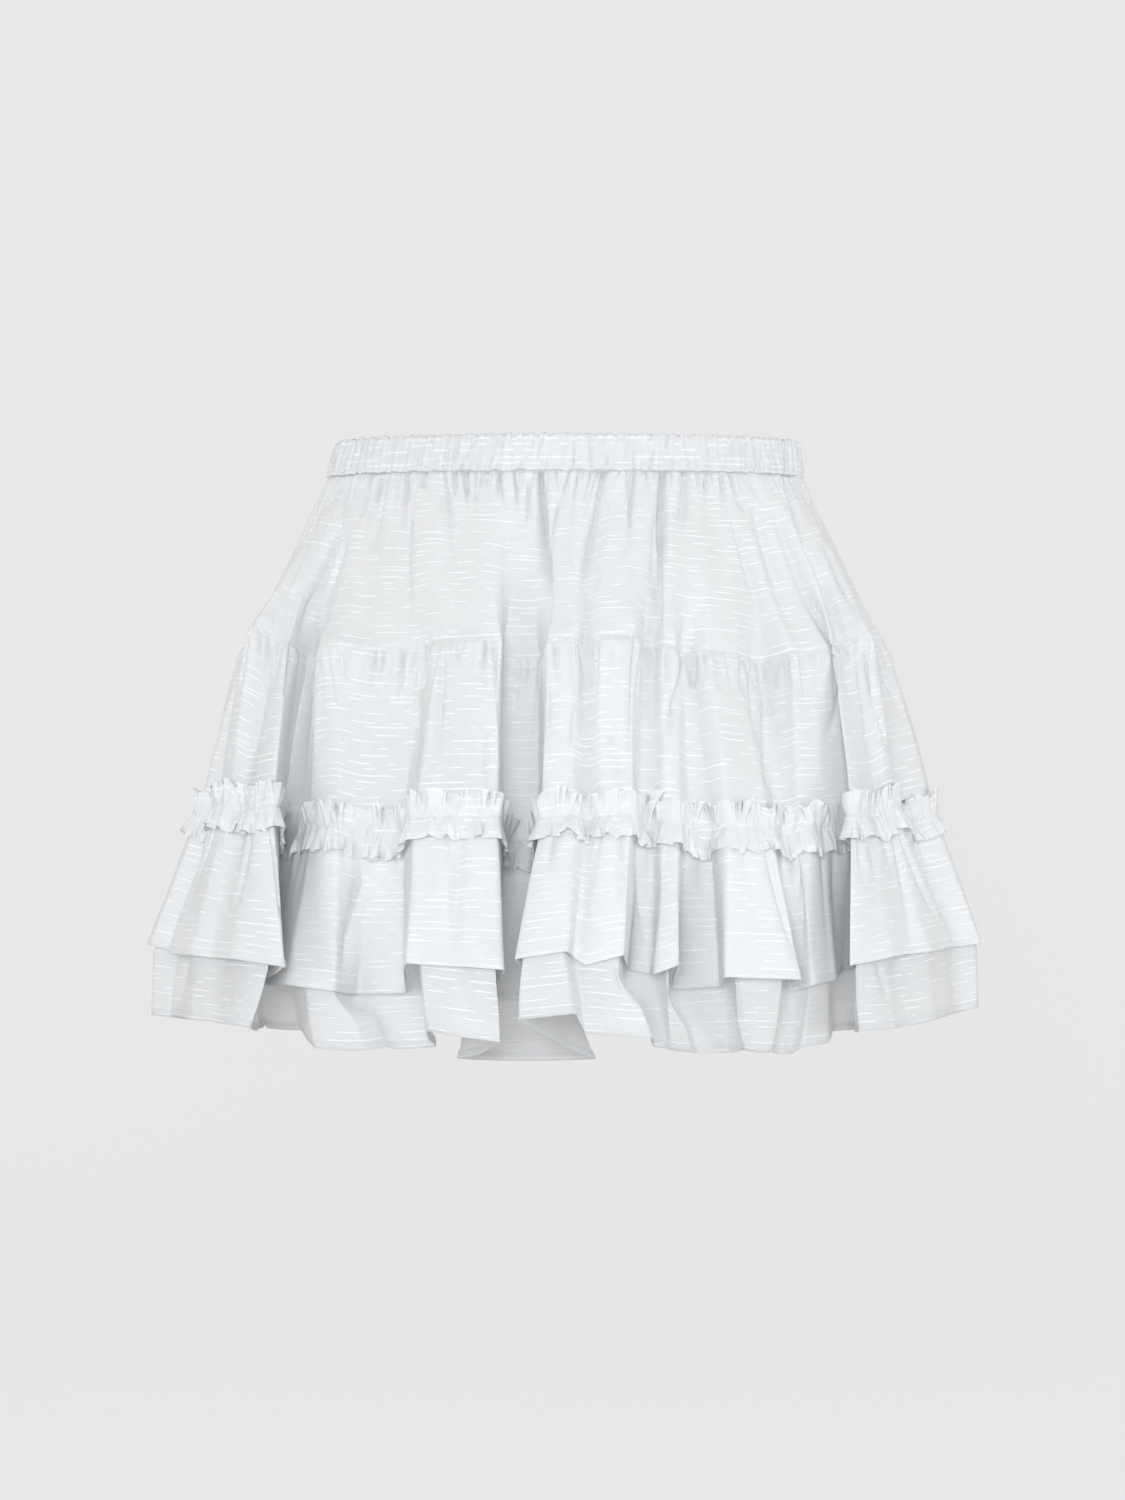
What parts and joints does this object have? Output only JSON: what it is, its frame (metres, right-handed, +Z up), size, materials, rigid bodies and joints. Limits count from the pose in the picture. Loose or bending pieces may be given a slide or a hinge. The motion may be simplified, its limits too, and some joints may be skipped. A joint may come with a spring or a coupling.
{
  "type": "tiered ruffle mini skirt",
  "caption": "Short pull-on cotton skirt with an elastic waistband, gathered tiers, a frilled strip and a double ruffled hem, hanging open and filled out.",
  "frame": {"origin": "middle of the waist opening, half way up the waistband, where the wearer holds the skirt", "axes": "+Z up the body, out of the waist opening; the front faces -Y; +X is to the right in a front view"},
  "size_m": [0.5003, 0.5112, 0.3507],
  "materials": {
    "waistband": "white slub cotton, shirred over elastic",
    "tier_upper": "white cotton with raised slub threads running across",
    "tier_middle": "white cotton with raised slub threads running across",
    "ruffle_upper": "white cotton with raised slub threads, narrow stitched hem",
    "ruffle_lower": "white cotton with raised slub threads, narrow stitched hem",
    "trim": "white cotton strip gathered along its middle"
  },
  "bodies": {
    "root": {"waistband": "waistband", "tier_upper_front": "tier_upper", "tier_upper_back": "tier_upper", "tier_middle_front": "tier_middle", "tier_middle_back": "tier_middle", "ruffle_upper_front": "ruffle_upper", "ruffle_upper_back": "ruffle_upper", "ruffle_lower_front": "ruffle_lower", "ruffle_lower_back": "ruffle_lower", "trim": "trim"}
  },
  "joints": []
}
